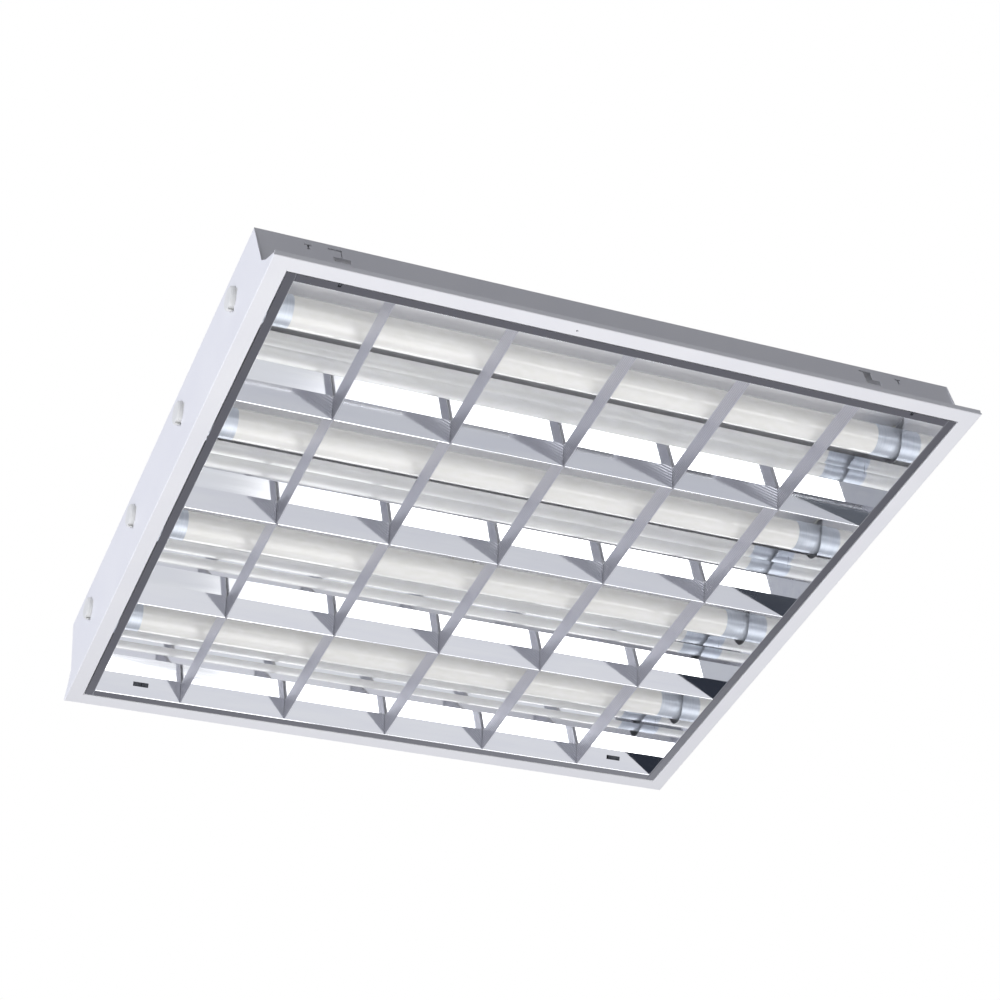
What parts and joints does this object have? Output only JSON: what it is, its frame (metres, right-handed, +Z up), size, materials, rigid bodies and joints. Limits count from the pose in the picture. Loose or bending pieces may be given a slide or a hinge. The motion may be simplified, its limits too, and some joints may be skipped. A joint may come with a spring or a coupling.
{
  "type": "recessed troffer light",
  "caption": "Square recessed ceiling light: folded white steel body, straight tube lamps and a hinged double-parabolic mirror louvre with ribbed cross blades",
  "frame": {"origin": "centre of the light opening, in the plane of the flange's underside that rests on the ceiling grid", "axes": "+X runs along the lamps, +Y across them from the hinge side to the catch side, +Z up into the ceiling void"},
  "size_m": [0.6058, 0.595, 0.0621],
  "materials": {
    "white_enamel": "satin white stove enamel",
    "zinc_steel": "bright zinc plated",
    "ballast_can": "white coated steel",
    "white_moulding": "moulded white polycarbonate",
    "black_rubber": "matt black",
    "wire_sleeve": "white PVC sleeve",
    "mirror_aluminium": "anodised specular mirror",
    "ribbed_aluminium": "finely ribbed, semi specular",
    "coated_glass": "phosphor coated, cream white when off",
    "cap_aluminium": "bright drawn sleeve",
    "pin_brass": "plain"
  },
  "bodies": {
    "housing": {"housing_tray": "white_enamel", "end_plate_left": "white_enamel", "end_plate_right": "white_enamel", "end_rivets": "zinc_steel", "bracket_rivets": "zinc_steel", "body_screws": "zinc_steel", "earth_stud": "zinc_steel", "hinge_lug_left": "zinc_steel", "hinge_lug_right": "zinc_steel", "catch_keeper_left": "zinc_steel", "catch_keeper_right": "zinc_steel", "ballast_left": "ballast_can", "ballast_right": "ballast_can", "ballast_connectors": "white_moulding", "terminal_block": "white_moulding", "cable_grommet": "black_rubber", "internal_wires": "wire_sleeve", "lampholder_1_left": "white_moulding", "lampholder_1_right": "white_moulding", "lampholder_2_left": "white_moulding", "lampholder_2_right": "white_moulding", "lampholder_3_left": "white_moulding", "lampholder_3_right": "white_moulding", "lampholder_4_left": "white_moulding", "lampholder_4_right": "white_moulding"},
    "louvre": {"side_reflector_near": "mirror_aluminium", "side_reflector_far": "mirror_aluminium", "end_reflector_left": "mirror_aluminium", "end_reflector_right": "mirror_aluminium", "divider_near": "mirror_aluminium", "divider_middle": "mirror_aluminium", "divider_far": "mirror_aluminium", "cross_blade_1": "ribbed_aluminium", "cross_blade_2": "ribbed_aluminium", "cross_blade_3": "ribbed_aluminium", "cross_blade_4": "ribbed_aluminium", "cross_blade_5": "ribbed_aluminium", "hinge_bracket_left": "zinc_steel", "hinge_bracket_right": "zinc_steel", "hinge_wires": "zinc_steel", "catch_guides": "zinc_steel"},
    "catch_left": {"catch_slider_left": "zinc_steel"},
    "catch_right": {"catch_slider_right": "zinc_steel"},
    "lamp_1": {"lamp_1_tube": "coated_glass", "lamp_1_caps": "cap_aluminium", "lamp_1_pins": "pin_brass", "lamp_1_rotors": "white_moulding"},
    "lamp_2": {"lamp_2_tube": "coated_glass", "lamp_2_caps": "cap_aluminium", "lamp_2_pins": "pin_brass", "lamp_2_rotors": "white_moulding"},
    "lamp_3": {"lamp_3_tube": "coated_glass", "lamp_3_caps": "cap_aluminium", "lamp_3_pins": "pin_brass", "lamp_3_rotors": "white_moulding"},
    "lamp_4": {"lamp_4_tube": "coated_glass", "lamp_4_caps": "cap_aluminium", "lamp_4_pins": "pin_brass", "lamp_4_rotors": "white_moulding"}
  },
  "joints": [
    {"name": "louvre_hinge", "type": "hinge", "parent": "housing", "child": "louvre", "pos_m": [0, -0.2814, 0.0019], "axis": [-1, 0, 0], "range_deg": [0, 90]},
    {"name": "lamp_1_twist", "type": "hinge", "parent": "housing", "child": "lamp_1", "pos_m": [0, -0.20625, 0.038], "axis": [1, 0, 0], "range_deg": [0, 90]},
    {"name": "lamp_2_twist", "type": "hinge", "parent": "housing", "child": "lamp_2", "pos_m": [0, -0.06875, 0.038], "axis": [1, 0, 0], "range_deg": [0, 90]},
    {"name": "lamp_3_twist", "type": "hinge", "parent": "housing", "child": "lamp_3", "pos_m": [0, 0.06875, 0.038], "axis": [1, 0, 0], "range_deg": [0, 90]},
    {"name": "lamp_4_twist", "type": "hinge", "parent": "housing", "child": "lamp_4", "pos_m": [0, 0.20625, 0.038], "axis": [1, 0, 0], "range_deg": [0, 90]},
    {"name": "catch_left_slide", "type": "slide", "parent": "louvre", "child": "catch_left", "axis": [-1, 0, 0], "range_m": [0, 0.0065]},
    {"name": "catch_right_slide", "type": "slide", "parent": "louvre", "child": "catch_right", "axis": [1, 0, 0], "range_m": [0, 0.0065]}
  ]
}
